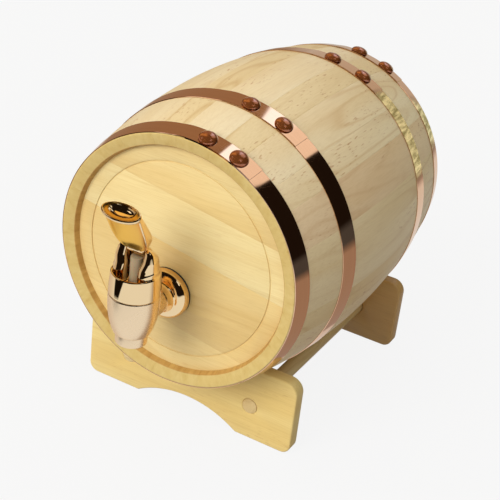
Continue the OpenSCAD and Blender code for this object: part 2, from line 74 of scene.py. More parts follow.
CASK = Matrix.Translation((0, FACE_Y, AXIS_H)) @ Matrix.Rotation(ROLL, 4, "Y")
AT_TAP = Matrix.Translation(TAP)


def outer_r(u):
    """Radius over the staves at u behind the front chime."""
    return BILGE_R - curve_r + math.sqrt(curve_r**2 - (u - half_len) ** 2)


def joint_angle(k):
    return joint_phase + k * stave_pitch + (STAVE_WOBBLE if k % 2 == 0 else -STAVE_WOBBLE)


def body_r(z):
    """Radius of the tap's barrel form at height z above its shank."""
    low = max(0.0, JOINT_Z - z) / (JOINT_Z - SPOUT_Z)
    high = max(0.0, z - JOINT_Z) / (LEDGE_Z - JOINT_Z)
    return TAP_R - 4.1 * low**2.8 - 0.7 * high**2


def polar(r, angle, u):
    a = math.radians(angle)
    return (r * math.sin(a), u, r * math.cos(a))


# ---- Building pieces ----


def finish_piece(name, bm, node, body, material, sharp=38.0, recalc=True):
    """Turns a bmesh in world metres into a piece that stands for a CAD node."""
    if recalc:
        bmesh.ops.recalc_face_normals(bm, faces=bm.faces)
    limit = math.radians(sharp)
    for face in bm.faces:
        face.smooth = True
    for edge in bm.edges:
        edge.smooth = len(edge.link_faces) == 2 and edge.calc_face_angle(0.0) < limit
    mesh = bpy.data.meshes.new(name)
    bm.to_mesh(mesh)
    bm.free()
    piece = bpy.data.objects.new(name, mesh)
    bpy.context.scene.collection.objects.link(piece)
    mesh.materials.append(material)
    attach(piece, body)
    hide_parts(node)
    return piece


def placed(points, place):
    return [(place @ Vector(p)) * MM for p in points]


def ring_grid(bm, rings, closed_rings=False):
    """Joins rings of vertices with quads. closed_rings joins the last ring to the first."""
    count = len(rings)
    for i in range(count if closed_rings else count - 1):
        a, b = rings[i], rings[(i + 1) % count]
        for j in range(len(a)):
            n = (j + 1) % len(a)
            bm.faces.new((a[j], a[n], b[n], b[j]))


def capped_grid(bm, rings):
    """Joins rings of vertices into a closed solid with flat ends."""
    ring_grid(bm, rings)
    bm.faces.new(rings[0])
    bm.faces.new(rings[-1])


def rounded(outline, radii, steps=5):
    """The outline's corners replaced by arcs. radii gives each corner's radius, 0 for sharp."""
    out = []
    count = len(outline)
    for i, (p, r) in enumerate(zip(outline, radii)):
        p = Vector(p)
        before, after = Vector(outline[i - 1]), Vector(outline[(i + 1) % count])
        if r <= 0:
            out.append(tuple(p))
            continue
        d0, d1 = (before - p).normalized(), (after - p).normalized()
        half = math.acos(max(-1, min(1, d0.dot(d1)))) / 2
        reach = min(r / math.tan(half), (before - p).length * 0.49, (after - p).length * 0.49)
        r = reach * math.tan(half)
        centre = p + (d0 + d1).normalized() * (r / math.sin(half))
        s0, s1 = p + d0 * reach - centre, p + d1 * reach - centre
        a0 = math.atan2(s0.y, s0.x)
        turn = (math.atan2(s1.y, s1.x) - a0 + math.pi) % (2 * math.pi) - math.pi
        for k in range(steps + 1):
            a = a0 + turn * k / steps
            out.append((centre.x + r * math.cos(a), centre.y + r * math.sin(a)))
    return out


def turned(bm, profile, place, steps=96):
    """A turned solid: profile holds (radius, height) points, going round one closed outline."""
    rings = []
    for k in range(steps):
        a = 2 * math.pi * k / steps
        points = [(r * math.cos(a), r * math.sin(a), z) for r, z in profile]
        rings.append([bm.verts.new(p) for p in placed(points, place)])
    ring_grid(bm, rings, closed_rings=True)
    bmesh.ops.remove_doubles(bm, verts=bm.verts, dist=1e-6)
    bad = [f for f in bm.faces if f.calc_area() < 1e-14]
    if bad:
        bmesh.ops.delete(bm, geom=bad, context="FACES_ONLY")


def eased(name, node, body, material, width, segments=2, crease=30.0):
    """A copy of a CAD node whose sharp edges are rounded to a real radius."""
    bm = bmesh.new()
    bm.from_mesh(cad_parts[node].data)
    bmesh.ops.remove_doubles(bm, verts=bm.verts, dist=2e-6)
    bmesh.ops.dissolve_limit(
        bm, angle_limit=math.radians(0.5), verts=bm.verts, edges=bm.edges)
    limit = math.radians(crease)
    edges = [e for e in bm.edges if len(e.link_faces) == 2 and e.calc_face_angle(0.0) > limit]
    bmesh.ops.bevel(
        bm, geom=edges, offset=width * MM, segments=segments, profile=0.5,
        affect="EDGES", clamp_overlap=True)
    return finish_piece(name, bm, node, body, material, recalc=False)


def coat(node, material):
    """Gives its material to a CAD node that is shown as it is."""
    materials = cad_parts[node].data.materials
    materials.clear()
    materials.append(material)


# ---- Smooth forms from fields that are negative inside ----


def smooth_min(a, b, k):
    h = np.clip(0.5 + 0.5 * (b - a) / k, 0, 1)
    return b + (a - b) * h - k * h * (1 - h)


def smooth_max(a, b, k):
    return -smooth_min(-a, -b, k)


def outline_distance(x, y, outline):
    """Signed distance from points to a closed 2D outline."""
    best = np.full(x.shape, 1e9)
    inside = np.zeros(x.shape, bool)
    for (x0, y0), (x1, y1) in zip(outline, outline[1:] + outline[:1]):
        dx, dy = x1 - x0, y1 - y0
        t = np.clip(((x - x0) * dx + (y - y0) * dy) / max(dx * dx + dy * dy, 1e-12), 0, 1)
        best = np.minimum(best, (x - x0 - t * dx) ** 2 + (y - y0 - t * dy) ** 2)
        if y0 != y1:
            inside ^= ((y0 > y) != (y1 > y)) & (x < dx * (y - y0) / dy + x0)
    return np.where(inside, -1, 1) * np.sqrt(best)


def surface_net(field, low, high, step):
    """Points and quads of the field's zero surface, on a grid of that step."""
    low, high = np.array(low, float), np.array(high, float)
    count = np.ceil((high - low) / step).astype(int) + 1
    axes = [low[i] + step * np.arange(count[i]) for i in range(3)]
    grid = np.stack(np.meshgrid(*axes, indexing="ij"), -1).reshape(-1, 3)
    value = field(grid).reshape(count)
    cells = count - 1
    corners = [(i, j, k) for i in (0, 1) for j in (0, 1) for k in (0, 1)]
    stack = np.stack([
        value[i:i + cells[0], j:j + cells[1], k:k + cells[2]] for i, j, k in corners], -1)
    inside = (stack < 0).sum(-1)
    mixed = (inside > 0) & (inside < 8)
    index = np.full(cells, -1)
    index[mixed] = np.arange(mixed.sum())
    v = stack[mixed]
    total, hits = np.zeros((len(v), 3)), np.zeros(len(v))
    for a, corner in enumerate(corners):
        for axis in range(3):
            if corner[axis]:
                continue
            other = list(corner)
            other[axis] = 1
            va, vb = v[:, a], v[:, corners.index(tuple(other))]
            cross = (va < 0) != (vb < 0)
            t = va[cross] / (va[cross] - vb[cross])
            total[cross] += corner
            total[cross, axis] += t
            hits[cross] += 1
    points = low + step * (np.argwhere(mixed) + total / hits[:, None])
    quads = []
    solid = value < 0
    for axis in range(3):
        u, w = np.eye(3, dtype=int)[(axis + 1) % 3], np.eye(3, dtype=int)[(axis + 2) % 3]
        a = np.take(solid, range(count[axis] - 1), axis)
        b = np.take(solid, range(1, count[axis]), axis)
        at = np.argwhere(a != b)
        ok = ((at - u - w >= 0).all(1)) & ((at < cells).all(1))
        at = at[ok]
        quad = np.stack([index[tuple(c.T)] for c in (at - u - w, at - w, at, at - u)], 1)
        out = a[tuple(at.T)]
        quads.append(np.where(out[:, None], quad, quad[:, ::-1]))
    quads = np.concatenate(quads)
    edges = np.concatenate([quads[:, [0, 1]], quads[:, [1, 2]], quads[:, [2, 3]], quads[:, [3, 0]]])

    def gradient(p, h=0.02):
        return np.stack([
            field(p + h * e) - field(p - h * e) for e in np.eye(3)], 1) / (2 * h)

    def settle(p, rounds):
        for _ in range(rounds):
            g = gradient(p)
            move = field(p)[:, None] * g / np.maximum((g * g).sum(1), 1e-6)[:, None]
            size = np.linalg.norm(move, axis=1, keepdims=True)
            p = p - move * np.minimum(1, 0.5 * step / np.maximum(size, 1e-9))
        return p

    points = settle(points, 2)
    for _ in range(3):
        near, uses = np.zeros_like(points), np.zeros(len(points))
        np.add.at(near, edges[:, 0], points[edges[:, 1]])
        np.add.at(near, edges[:, 1], points[edges[:, 0]])
        np.add.at(uses, edges.ravel(), 1)
        slide = near / uses[:, None] - points
        g = gradient(points)
        g /= np.maximum(np.linalg.norm(g, axis=1, keepdims=True), 1e-6)
        slide -= g * (slide * g).sum(1, keepdims=True)
        points = settle(points + 0.6 * slide, 2)
    return points, quads


def net_piece(name, field, low, high, step, place, node, body, material, sharp=50.0):
    points, quads = surface_net(field, low, high, step)
    bm = bmesh.new()
    verts = [bm.verts.new(p) for p in placed(points, place)]
    for quad in quads:
        bm.faces.new([verts[i] for i in quad])
    return finish_piece(name, bm, node, body, material, sharp, recalc=False)


# ---- Materials ----


class Graph:
    """A small helper that adds nodes to a material or world."""

    def __init__(self, owner):
        owner.use_nodes = True
        self.tree = owner.node_tree
        self.tree.nodes.clear()

    def add(self, kind, **settings):
        node = self.tree.nodes.new(kind)
        for key, value in settings.items():
            setattr(node, key, value)
        return node

    def link(self, a, b):
        self.tree.links.new(a, b)

    def value(self, socket, value):
        if isinstance(value, (int, float, tuple)):
            socket.default_value = value
        else:
            self.link(value, socket)

    def math(self, op, a, b=None, c=None, clamp=False):
        node = self.add("ShaderNodeMath", operation=op, use_clamp=clamp)
        for i, value in enumerate((a, b, c)):
            if value is not None:
                self.value(node.inputs[i], value)
        return node.outputs[0]

    def ramp(self, value, stops):
        node = self.add("ShaderNodeValToRGB")
        elements = node.color_ramp.elements
        while len(elements) < len(stops):
            elements.new(0.5)
        for element, (place, colour) in zip(elements, stops):
            element.position = place
            element.color = (*colour, 1)
        self.link(value, node.inputs[0])
        return node.outputs[0]

    def mix(self, factor, a, b, blend="MIX"):
        node = self.add("ShaderNodeMix", data_type="RGBA", blend_type=blend)
        self.value(node.inputs[0], factor)
        for socket, value in ((node.inputs[6], a), (node.inputs[7], b)):
            if isinstance(value, tuple):
                socket.default_value = (*value, 1)
            else:
                self.link(value, socket)
        return node.outputs[2]

    def noise(self, vector, scale, detail=4.0, roughness=0.55, distortion=0.0):
        node = self.add("ShaderNodeTexNoise")
        self.link(vector, node.inputs["Vector"])
        node.inputs["Scale"].default_value = scale
        node.inputs["Detail"].default_value = detail
        node.inputs["Roughness"].default_value = roughness
        node.inputs["Distortion"].default_value = distortion
        return node.outputs["Fac"]

    def ease(self, value, low, high, to_low=0.0, to_high=1.0):
        """A smooth step from to_low to to_high while value goes from low to high."""
        node = self.add("ShaderNodeMapRange", interpolation_type="SMOOTHSTEP")
        self.link(value, node.inputs["Value"])
        keys = ("From Min", "From Max", "To Min", "To Max")
        for key, number in zip(keys, (low, high, to_low, to_high)):
            node.inputs[key].default_value = number
        return node.outputs[0]

    def bump(self, height, strength, distance, shader):
        """Fine relief, whose distance is in metres, on a shader."""
        node = self.add("ShaderNodeBump")
        node.inputs["Strength"].default_value = strength
        node.inputs["Distance"].default_value = distance
        self.link(height, node.inputs["Height"])
        self.link(node.outputs[0], shader.inputs["Normal"])

    def output(self, shader, kind="ShaderNodeOutputMaterial"):
        self.link(shader.outputs[0], self.add(kind).inputs[0])

    def mapped(self, scale, offset=(0, 0, 0), rotation=(0, 0, 0)):
        coord = self.add("ShaderNodeTexCoord")
        node = self.add("ShaderNodeMapping")
        node.inputs["Scale"].default_value = scale
        node.inputs["Location"].default_value = offset
        node.inputs["Rotation"].default_value = rotation
        self.link(coord.outputs["Object"], node.inputs["Vector"])
        return node.outputs[0]


def srgb(code):
    """A hex colour as linear numbers."""
    parts = [int(code[i:i + 2], 16) / 255 for i in (0, 2, 4)]
    return tuple(c / 12.92 if c <= 0.04045 else ((c + 0.055) / 1.055) ** 2.4 for c in parts)


# In metres: how deep the end grain's tone goes, and the radius inside which the chime's wall lies.
END_GRAIN_DEPTH, CHIME_WALL_R = 0.0019, 0.0678


def end_grain(g, colour, seed):
    """Gives a stave's end grain its own tones, and makes the wall inside its croze a darker brown.
    """
    coord = g.add("ShaderNodeTexCoord")
    parts = g.add("ShaderNodeSeparateXYZ")
    g.link(coord.outputs["Object"], parts.inputs[0])
    rise = g.math("SUBTRACT", parts.outputs[2], AXIS_H * MM)
    radius = g.math("SQRT", g.math(
        "ADD", g.math("POWER", parts.outputs[0], 2.0), g.math("POWER", rise, 2.0)))
    inward = g.math("SUBTRACT", half_len * MM, g.math("ABSOLUTE", g.math(
        "SUBTRACT", parts.outputs[1], (FACE_Y + half_len) * MM)))
    polar_at = g.add("ShaderNodeCombineXYZ")
    around_axis = g.math("ARCTAN2", parts.outputs[0], rise)
    g.link(g.math("MULTIPLY", around_axis, 18.0), polar_at.inputs[0])
    g.link(g.math("MULTIPLY", radius, 150.0), polar_at.inputs[1])
    polar_at.inputs[2].default_value = seed
    streak = g.noise(polar_at.outputs[0], 1.0, 3, 0.6, 0.3)
    grainy = g.ramp(streak, [
        (0.2, (0.50, 0.31, 0.08)), (0.36, (0.61, 0.43, 0.14)), (0.7, (0.67, 0.50, 0.19))])
    colour = g.mix(g.math("LESS_THAN", inward, END_GRAIN_DEPTH), colour, grainy)
    wall = g.ramp(streak, [(0.3, (0.42, 0.21, 0.045)), (0.7, (0.60, 0.36, 0.10))])
    return g.mix(g.math("LESS_THAN", radius, CHIME_WALL_R), colour, wall)


def wood(
        name, pale, dark, seed, grain="Y", rings=0.4, flecks=0.5, rough=0.42, tilt=0.0, ends=False):
    """Planed pine: soft tones, thin growth lines and clusters of short reddish dashes.

    ends is True for a stave, whose cut ends have tones of their own and whose wall inside the croze
    is a darker brown."""
    material = bpy.data.materials.new(name)
    g = Graph(material)
    spin = (0, tilt, 0)
    shift = (seed * 1.37 % 7, seed * 2.11 % 5, seed * 0.73 % 9)

    def along(long, wide):
        scale = [wide] * 3
        scale["XYZ".index(grain)] = long
        return g.mapped(tuple(scale), shift, spin)

    drift = g.noise(along(5, 36), 1.0, 2, 0.5, 0.3)
    warm = tuple(a * b for a, b in zip(pale, (0.88, 0.76, 0.56)))
    colour = g.mix(g.ease(drift, 0.36, 0.72, 0.0, 0.55), pale, warm)
    field = g.noise(along(2.4, 30), 1.0, 1.5, 0.45, 0.15)
    wave = g.math("MULTIPLY_ADD", g.math("SINE", g.math("MULTIPLY", field, 75.0)), 0.5, 0.5)
    place = g.ease(g.noise(along(5, 22), 1.0, 1), 0.42, 0.66)
    late = g.math("MULTIPLY", g.math("POWER", wave, 7.0), g.math("MULTIPLY_ADD", place, 0.75, 0.25))
    colour = g.mix(g.math("MULTIPLY", late, rings), colour, dark)
    fibre = g.noise(along(60, 2000), 1.0, 2, 0.6)
    lines = g.ramp(
        fibre, [(0.25, (0.92, 0.89, 0.84)), (0.55, (1, 1, 1)), (0.9, (1.03, 1.03, 1.03))])
    colour = g.mix(1.0, colour, lines, "MULTIPLY")
    dash = g.ease(g.noise(along(170, 1100), 1.0, 1, 0.5), 0.62, 0.74)
    group = g.ease(g.noise(along(14, 40), 1.0, 1), 0.46, 0.6)
    brown = tuple(a * b for a, b in zip(dark, (0.72, 0.42, 0.28)))
    colour = g.mix(g.math("MULTIPLY", g.math("MULTIPLY", dash, group), flecks), colour, brown)
    if ends:
        colour = end_grain(g, colour, seed)
    shader = g.add("ShaderNodeBsdfPrincipled")
    g.link(colour, shader.inputs["Base Color"])
    g.link(g.math("MULTIPLY_ADD", fibre, 0.14, rough - 0.07), shader.inputs["Roughness"])
    shader.inputs["Specular IOR Level"].default_value = 0.4
    g.bump(fibre, 0.1, 0.0002, shader)
    g.output(shader)
    return material


def metal(name, colour, rough, wear=0.06, stretch=(1, 1, 1), scale=60.0, lines=0.0):
    """Polished or satin metal with slight changes of tone and gloss, brushed along its lines."""
    material = bpy.data.materials.new(name)
    g = Graph(material)
    cloud = g.noise(g.mapped(tuple(scale * s for s in stretch)), 1.0, 2, 0.5)
    fine = g.noise(g.mapped(tuple(scale * 30 * s for s in stretch)), 1.0, 1, 0.5)
    shader = g.add("ShaderNodeBsdfPrincipled")
    darker = tuple(c * (1 - wear) for c in colour)
    lighter = tuple(min(1.0, c * (1 + wear)) for c in colour)
    g.link(g.mix(cloud, darker, lighter), shader.inputs["Base Color"])
    shader.inputs["Metallic"].default_value = 1.0
    low = g.math("MULTIPLY_ADD", cloud, rough * 0.4, rough * 0.8)
    g.link(g.math("MULTIPLY_ADD", fine, lines, low), shader.inputs["Roughness"])
    g.output(shader)
    return material


def lacquer(name, colour):
    """Dark copper under a clear glossy coat."""
    material = bpy.data.materials.new(name)
    g = Graph(material)
    cloud = g.noise(g.mapped((300, 300, 300)), 1.0, 3)
    shader = g.add("ShaderNodeBsdfPrincipled")
    darker = tuple(c * 0.8 for c in colour)
    g.link(g.mix(cloud, darker, colour), shader.inputs["Base Color"])
    shader.inputs["Metallic"].default_value = 0.7
    g.link(g.math("MULTIPLY_ADD", cloud, 0.08, 0.2), shader.inputs["Roughness"])
    shader.inputs["Coat Weight"].default_value = 1.0
    shader.inputs["Coat Roughness"].default_value = 0.03
    g.output(shader)
    return material


def soft(name, colour, rough, spec=0.5, subsurface=0.0, grain=900.0):
    """Rubber, silicone or moulded plastic with a faint texture."""
    material = bpy.data.materials.new(name)
    g = Graph(material)
    tone = g.noise(g.mapped((60, 60, 60)), 1.0, 3)
    fine = g.noise(g.mapped((grain, grain, grain)), 1.0, 2)
    shader = g.add("ShaderNodeBsdfPrincipled")
    dark = tuple(c * 0.86 for c in colour)
    g.link(g.mix(tone, dark, colour), shader.inputs["Base Color"])
    g.link(g.math("MULTIPLY_ADD", fine, 0.12, rough - 0.06), shader.inputs["Roughness"])
    shader.inputs["Specular IOR Level"].default_value = spec
    shader.inputs["Subsurface Weight"].default_value = subsurface
    shader.inputs["Subsurface Scale"].default_value = 0.002
    g.bump(fine, 0.06, 0.0001, shader)
    g.output(shader)
    return material


COPPER = (0.86, 0.52, 0.30)
hoop_metal = metal("hoop_copper", COPPER, 0.05, 0.05, (1, 12, 1), 40.0, 0.04)
rivet_metal = lacquer("rivet_copper", (0.46, 0.13, 0.03))
plating = metal("tap_plating", (0.94, 0.66, 0.33), 0.03, 0.02, lines=0.015)
# The lever's hollow and dish are a deep orange gold: a painted reflection of the gold plating
# mirrored in itself.
bowl_painted_gold = metal("tap_bowl_painted_reflection", (0.98, 0.52, 0.09), 0.32, 0.05, lines=0.02)
satin = metal("tap_satin", (0.93, 0.67, 0.38), 0.24, 0.03, lines=0.05)
steel = metal("bare_steel", (0.56, 0.56, 0.57), 0.28, 0.08, lines=0.08)
rubber = soft("black_rubber", (0.02, 0.02, 0.022), 0.62, 0.35)
milky = soft("milky_plastic", (0.42, 0.31, 0.18), 0.30, 0.5, 0.25)
silicone = soft("clear_silicone", (0.74, 0.74, 0.71), 0.36, 0.5, 0.3)

# ---- Cask: staves ----


def stave_outline():
    """The stave's section from its end grain to the croze, as (radius, u) points."""
    count = 56
    outer = [(outer_r(u), u) for u in np.linspace(0, CASK_LEN, count)]
    inner = [(outer_r(u) - STAVE_T, u) for u in np.linspace(
        HEAD_RECESS + CROZE_W, CASK_LEN - HEAD_RECESS - CROZE_W, 14)]
    front = [
        (END_R - CHIME_W, CHIME_DROP), (SEAT_R, HEAD_RECESS),
        (CROZE_R, HEAD_RECESS), (CROZE_R, HEAD_RECESS + CROZE_W)]
    rear = [(r, CASK_LEN - u) for r, u in front]
    outline = outer + rear + inner[::-1] + front[::-1]
    radii = [0.0] * len(outline)
    radii[0] = radii[count - 1] = 0.7
    radii[count] = radii[-1] = 0.8
    return rounded(outline, radii, 4)


def stave(bm, k, outline):
    """Stave k, with its long edges eased so that the joints show as fine lines."""
    a0, a1 = joint_angle(k - 1), joint_angle(k)
    edge = [(0.004, 0.08), (0.05, 0.04), (0.14, 0.012), (0.3, 0.0)]
    steps = 7
    inner = [0.8 + (a1 - a0 - 1.6) * i / steps for i in range(steps + 1)]
    angles = [(a0 + a, e) for a, e in edge] + [(a0 + a, 0.0) for a in inner]
    angles += [(a1 - a, e) for a, e in reversed(edge)]
    count = len(outline)
    normals = []
    for i in range(count):
        p, q = Vector(outline[i - 1]), Vector(outline[(i + 1) % count])
        d = (q - p).normalized()
        normals.append((d.y, -d.x))
    rings = []
    for angle, ease in angles:
        points = [
            polar(r - ease * n[0], angle, u - ease * n[1]) for (r, u), n in zip(outline, normals)]
        rings.append([bm.verts.new(p) for p in placed(points, CASK)])
    capped_grid(bm, rings)


outline = stave_outline()
stave_tones = [
    ("E9D4A8", "C79C62"), ("E7CCA2", "C2925C"), ("ECD8AE", "CBA268"), ("E4CB98", "C09558")]
for k in range(1, STAVES + 1):
    pale, dark = stave_tones[(k * 3 + k // 3) % 4]
    bm = bmesh.new()
    stave(bm, k, outline)
    finish_piece(
        f"planed_stave_{k:02d}", bm, f"stave_{k:02d}", "cask",
        wood(f"stave_pine_{k:02d}", srgb(pale), srgb(dark), 3.7 * k, "Y", 0.4, 0.6, ends=True))

# ---- Cask: heads ----

front_tones = [
    ("EBD294", "D2AC62"), ("EED89C", "D6B26A"), ("E6C886", "CCA257"), ("EACF90", "D0AA60")]
for side, tones in (("front", front_tones), ("rear", front_tones[::-1])):
    for i, (pale, dark) in enumerate(tones, 1):
        eased(
            f"{side}_board_{i}", f"{side}_head_board_{i}", "cask",
            wood(f"{side}_head_pine_{i}", srgb(pale), srgb(dark),
                 11.3 * i + (5 if side == "rear" else 0), "X", 0.28, 0.1, 0.38, ROLL),
            0.1, 2)

coat("head_pins", wood("peg_wood", srgb("C9A26C"), srgb("A97F48"), 4.0, "Z", 0.4, 0.1))

# ---- Hoops and rivets ----


# The strip's clearance to the staves, eased corners and crown, and the degrees its lap climbs in.
HOOP_GAP, HOOP_EASE, HOOP_CROWN, LAP_RAMP = 0.02, 0.12, 0.05, 7.0


def hoop(bm, u0, u1):
    """One strip bent round the cask, whose outer end laps over its inner end."""
    t, c = HOOP_T, HOOP_EASE
    section = [
        (c, 0.0), (t - c, 0.0), (t, c), (t + HOOP_CROWN, 0.5), (t, 1 - c), (t - c, 1.0),
        (c, 1.0), (0.0, 1 - c), (0.0, c)]
    start, end = LAP[0], LAP[1] + 360
    steps = 380
    rings = []
    for k in range(steps + 1):
        angle = start + (end - start) * k / steps
        over = min(1.0, max(0.0, (angle - (start + 360 - LAP_RAMP)) / LAP_RAMP))
        lift = HOOP_GAP + (HOOP_T + HOOP_GAP) * over * over * (3 - 2 * over)
        points = []
        for high, wide in section:
            if wide in (c, 1 - c):
                u = u0 + c if wide == c else u1 - c
            else:
                u = u0 + (u1 - u0) * wide
            points.append(polar(
                outer_r(u0) + (outer_r(u1) - outer_r(u0)) * (u - u0) / (u1 - u0) + lift + high,
                angle, u))
        rings.append([bm.verts.new(p) for p in placed(points, CASK)])
    capped_grid(bm, rings)


for node, (u0, u1) in HOOPS.items():
    bm = bmesh.new()
    hoop(bm, u0, u1)
    finish_piece(f"lapped_{node}", bm, node, "cask", hoop_metal, 30.0)

bm = bmesh.new()
for u0, u1 in HOOPS.values():
    mid = (u0 + u1) / 2
    slope = math.atan((outer_r(u1) - outer_r(u0)) / (u1 - u0))
    base = (outer_r(u0) + outer_r(u1)) / 2 + 2 * HOOP_T
    for angle in RIVET_ANGLES:
        place = (CASK @ Matrix.Rotation(math.radians(angle), 4, "Y")
                 @ Matrix.Translation((0, mid, base)) @ Matrix.Rotation(slope, 4, "X"))
        cap = [(RIVET_R * math.sin(a), RIVET_H * math.cos(a) ** 0.9) for a in
               np.linspace(0, math.pi / 2, 15)]
        cap[-1] = (RIVET_R, 0.25)
        one = bmesh.new()
        turned(one, [(0.0, RIVET_H)] + cap[1:] + [
            (RIVET_R - 0.25, 0.02), (1.5, 0.02), (1.5, -6.0), (0.0, -6.0)], place, 48)
        spare = bpy.data.meshes.new("rivet")
        one.to_mesh(spare)
        one.free()
        bm.from_mesh(spare)
        bpy.data.meshes.remove(spare)
finish_piece("domed_rivets", bm, "hoop_rivets", "cask", rivet_metal)

# ---- Cradle ----

# The rear plate's tones are browner and darker than the front plate's. This is painted shade, for
# the shade it sits in under the cask; both plates are likely the same wood.
for i, node in enumerate(("cradle_front_plate", "cradle_rear_plate")):
    eased(
        f"sanded_{node}", node, "cradle",
        wood(f"cradle_pine_{i}", srgb(("E9CF88", "C39A5B")[i]), srgb(("C49A4E", "8E6533")[i]),
             21.0 + 8 * i, "X", 0.35, 0.3, 0.42),
        1.1, 3)
for i, side in enumerate(("left", "right")):
    eased(
        f"dowel_{side}", f"cradle_dowel_{side}", "cradle",
        wood(f"dowel_birch_{i}", srgb("DDC48E"), srgb("B99558"), 31.0 + 8 * i, "Y", 0.3, 0.2, 0.45),
        0.35, 2)

# ---- Tap ----


def radius_of(p):
    return np.hypot(p[:, 0], p[:, 1])


def round_bar(p, r, y0, y1, k=0.4):
    return smooth_max(np.hypot(p[:, 0], p[:, 2]) - r, np.maximum(y0 - p[:, 1], p[:, 1] - y1), k)


heights = np.linspace(SPOUT_Z, JOINT_Z, 22)
body_outline = [(-6.0, SPOUT_Z)] + [(body_r(z), z) for z in heights] + [(-6.0, JOINT_Z)]
body_outline = rounded(body_outline, [0.0, 1.3] + [0.0] * 20 + [0.5, 0.0], 6)


NECK_R, NECK_LEN, SHANK_R, SHANK_LEN, WATERWAY_R = 7.8, 24.7, 7.5, 54.4, 4.5
CHAMBER_R, PLUG_R, SOCKET_R, ORIFICE_R = 8.8, 10.6, 8.1, 4.8
# The upright hollows, as (radius, lowest z, highest z): the chamber of the valve, the seat of the
# upper part's plug, the nozzle's socket and the valve's orifice.
HOLLOWS = [
    (CHAMBER_R, -5.25, 11.2), (PLUG_R, 10.9, 20.0), (SOCKET_R, -12.0, -7.0),
    (ORIFICE_R, -8.0, -4.0)]


def tap_body_field(p):
    r, z = radius_of(p), p[:, 2]
    barrel = outline_distance(r, z, body_outline)
    neck = round_bar(p, NECK_R, 0.0, NECK_LEN)
    shank = round_bar(p, SHANK_R, 0.0, SHANK_LEN, 0.8)
    solid = smooth_min(smooth_min(barrel, neck, 1.8), shank, 0.5)
    hollow = np.maximum(np.hypot(p[:, 0], z) - WATERWAY_R, -p[:, 1])
    for across, low, high in HOLLOWS:
        hollow = np.minimum(hollow, np.maximum(r - across, np.maximum(low - z, z - high)))
    return smooth_max(solid, -hollow, 0.4)


net_piece(
    "tap_barrel", tap_body_field, (-15.2, -15.2, -10.2), (15.2, 55.6, 16.6), 0.5, AT_TAP,
    "tap_body", "cask", satin)

well_r = body_r(LEDGE_Z) - 1.1
STEM_BORE_R, PLUG_Z, CEILING_Z = 3.55, 11.0, 18.0
heights = np.linspace(JOINT_Z, LEDGE_Z, 12)
bonnet_outline = [(PLUG_R, PLUG_Z), (PLUG_R, JOINT_Z)] + [(body_r(z), z) for z in heights] + [
    (well_r, LEDGE_Z), (well_r, WELL_Z), (STEM_BORE_R, WELL_Z), (STEM_BORE_R, CEILING_Z),
    (CHAMBER_R, CEILING_Z), (CHAMBER_R, PLUG_Z)]
bonnet_outline = rounded(
    bonnet_outline, [0.0, 0.0, 0.7] + [0.0] * 10 + [0.5, 0.4, 0.6, 0.0, 0.0, 0.0, 0.0], 5)
SLOT_X, SLOT_Y, EAR_X, EAR_Y, EAR_R = 5.3, 10.6, 8.7, -4.3, 3.4
EAR_TURN = math.radians(35)  # how far the ears' outer fronts turn back
ear_outline = [(SLOT_X, SLOT_Y)] + [
    (EAR_X + EAR_R * math.cos(a), EAR_Y + EAR_R * math.sin(a))
    for a in np.linspace(math.pi, 1.5 * math.pi + EAR_TURN, 25)]
ear_outline += [
    (16.0, ear_outline[-1][1] + (16.0 - ear_outline[-1][0]) * math.tan(EAR_TURN)), (16.0, 16.0)]
ear_outline += [(-x, y) for x, y in reversed(ear_outline)]
LEAN, LEAN_Z, FALL = math.radians(17), 31.0, math.radians(32)
PIN_Y, PIN_Z, PIN_R, PIN_END_X = 6.0, 34.5, 2.0, -8.6
crown = [
    (-6.0, -6.0), (10.9, -5), (12.4, 1), (12, 6), (11, 10), (9.4, 13.5), (7, 16.0), (-6.0, 16.5)]


def bonnet_field(p):
    x, y, z = p[:, 0], p[:, 1], p[:, 2]
    r = radius_of(p)
    collar = outline_distance(r, z, bonnet_outline)
    back = np.maximum(0, z - 29.5) * 0.34 * np.clip((5 - y) / 7, 0, 1)
    # Below the lever the ears' fronts come closer together, and above it they lean back.
    inward = 1.1 * np.clip((37 - z) / 4, 0, 1) * np.clip((1 - y) / 3, 0, 1)
    plan = outline_distance(np.copysign(np.abs(x) + inward, x), y - back, ear_outline)
    foot = np.maximum(r - 12.45, z - LEAN_Z)
    ly = y * math.cos(LEAN) + (z - LEAN_Z) * math.sin(LEAN)
    lz = -y * math.sin(LEAN) + (z - LEAN_Z) * math.cos(LEAN)
    head = outline_distance(np.hypot(x, ly), lz, crown)
    form = smooth_min(foot, head, 1.5)
    fall = (y + 2) * math.sin(FALL) + (z - 44.6) * math.cos(FALL)
    top = smooth_max(fall, z - 44.4, 2.0)
    ears = smooth_max(smooth_max(form, top, 2.6), plan, 2.0)
    ears = np.maximum(ears, 22.9 - z)
    solid = smooth_min(collar, ears, 1.1)
    hole = np.maximum(np.hypot(y - PIN_Y, z - PIN_Z) - PIN_R, PIN_END_X - x)
    return smooth_max(solid, -hole, 0.35)


net_piece(
    "tap_top", bonnet_field, (-14.9, -15.0, 10.2), (14.9, 15.0, 45.6), 0.33, AT_TAP,
    "tap_bonnet", "cask", plating)

NOZZLE_R, NOZZLE_BORE_R, MOUTH_Z, NOZZLE_STEP_Z, NOZZLE_TOP_Z = 8.8, 7.2, -15.2, -8.95, -7.0
nozzle_outline = [
    (NOZZLE_BORE_R, MOUTH_Z), (NOZZLE_R, MOUTH_Z), (NOZZLE_R, NOZZLE_STEP_Z),
    (SOCKET_R, NOZZLE_STEP_Z), (SOCKET_R, NOZZLE_TOP_Z), (NOZZLE_BORE_R, NOZZLE_TOP_Z)]
bm = bmesh.new()
turned(bm, rounded(nozzle_outline, [0.5, 0.7, 0.5, 0, 0, 0], 5), AT_TAP, 128)
finish_piece("nozzle_ring", bm, "spout_nozzle", "cask", satin)

